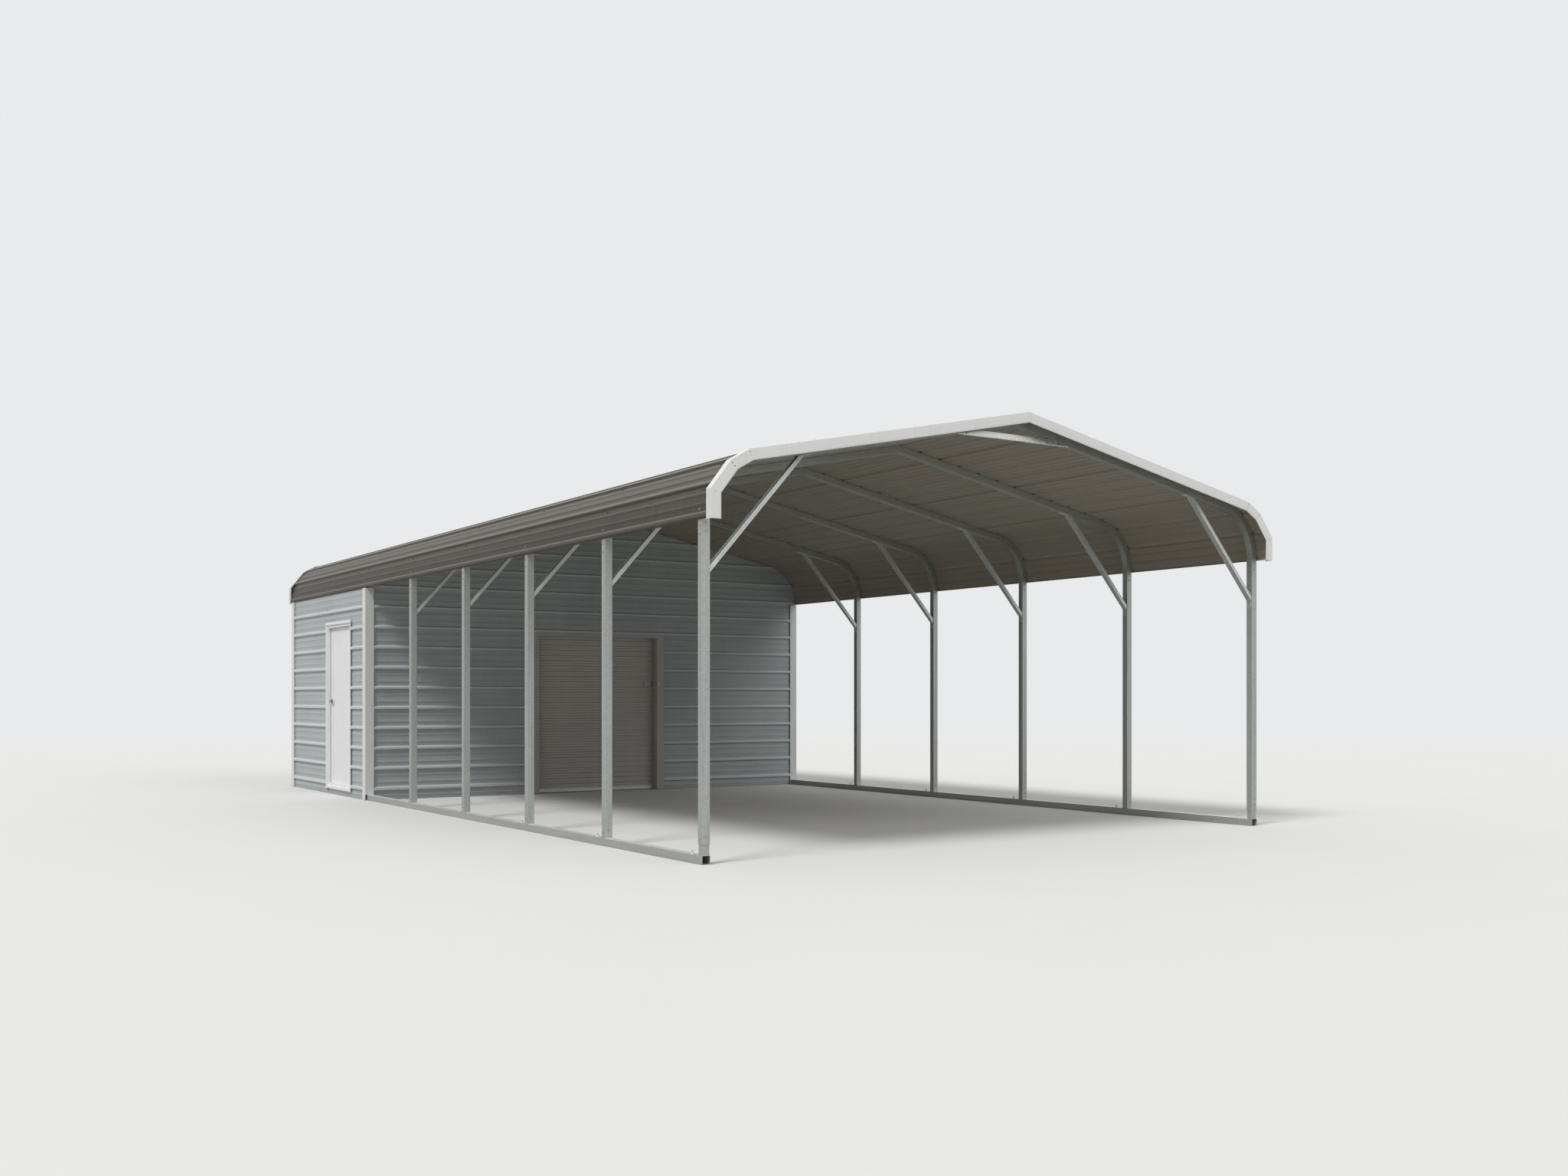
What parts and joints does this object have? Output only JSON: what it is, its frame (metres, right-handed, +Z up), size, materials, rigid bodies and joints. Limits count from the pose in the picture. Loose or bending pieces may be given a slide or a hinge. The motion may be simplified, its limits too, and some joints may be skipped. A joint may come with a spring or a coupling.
{
  "type": "steel tube carport with enclosed store room",
  "caption": "Open-fronted rounded-eave steel carport with ribbed lengthwise roof sheets, knee-braced tube frames and a sided store room at the back with a roll-up door and a walk-in door.",
  "frame": {"origin": "on the ground, at the centre of the carport's footprint", "axes": "+X to the right seen from the open front, +Y from the open front to the store room at the back, +Z up"},
  "size_m": [5.8036, 11.0384, 3.4142],
  "materials": {
    "frame_tube": "galvanised",
    "roof_sheet": "baked enamel",
    "trim_white": "baked enamel",
    "wall_sheet": "baked enamel",
    "roll_door": "baked enamel",
    "walk_in_door": "satin enamel",
    "brace_steel": "galvanised",
    "hardware": "satin"
  },
  "bodies": {
    "carport": {"frame_1_bow": "frame_tube", "frame_2_bow": "frame_tube", "frame_3_bow": "frame_tube", "frame_4_bow": "frame_tube", "frame_5_bow": "frame_tube", "frame_6_bow": "frame_tube", "frame_7_bow": "frame_tube", "frame_8_bow": "frame_tube", "left_legs": "frame_tube", "right_legs": "frame_tube", "left_base_rail": "frame_tube", "right_base_rail": "frame_tube", "left_leg_stubs": "frame_tube", "right_leg_stubs": "frame_tube", "rear_base_rail": "frame_tube", "partition_base_rails": "frame_tube", "partition_door_framing": "frame_tube", "rear_wall_posts": "frame_tube", "side_door_framing": "frame_tube", "left_knee_braces": "brace_steel", "right_knee_braces": "brace_steel", "peak_brace": "brace_steel", "ridge_panel": "roof_sheet", "left_upper_roof_panel": "roof_sheet", "right_upper_roof_panel": "roof_sheet", "left_lower_roof_panel": "roof_sheet", "right_lower_roof_panel": "roof_sheet", "left_eave_panel": "roof_sheet", "right_eave_panel": "roof_sheet", "front_trim": "trim_white", "rear_trim": "trim_white", "front_corner_trims": "trim_white", "rear_corner_trims": "trim_white", "walk_in_frame": "trim_white", "left_wall_front": "wall_sheet", "left_wall_rear": "wall_sheet", "left_wall_over_door": "wall_sheet", "right_wall": "wall_sheet", "rear_wall": "wall_sheet", "partition_left": "wall_sheet", "partition_right": "wall_sheet", "partition_over_door": "wall_sheet", "roll_up_curtain": "roll_door", "roll_up_bottom_bar": "roll_door", "roll_up_guides": "roll_door", "roll_up_coil": "roll_door", "roll_up_jamb_trims": "trim_white", "roll_up_head_trim": "trim_white", "roll_up_brackets": "hardware", "hinge_fixed_leaves": "hardware"},
    "walk_in_door": {"walk_in_slab": "walk_in_door", "hinge_moving_leaves": "hardware"},
    "lever": {"door_lever": "hardware"}
  },
  "joints": [
    {"name": "walk_in_door_hinge", "type": "hinge", "parent": "carport", "child": "walk_in_door", "pos_m": [-2.8097, 2.85, 1.06], "axis": [0, 0, -1], "range_deg": [0, 105]},
    {"name": "lever_turn", "type": "hinge", "parent": "walk_in_door", "child": "lever", "pos_m": [-2.8365, 3.68425, 1.113], "axis": [1, 0, 0], "range_deg": [0, 40], "stiffness_Nm_per_rad": 1.2, "springref_deg": -45.84}
  ]
}
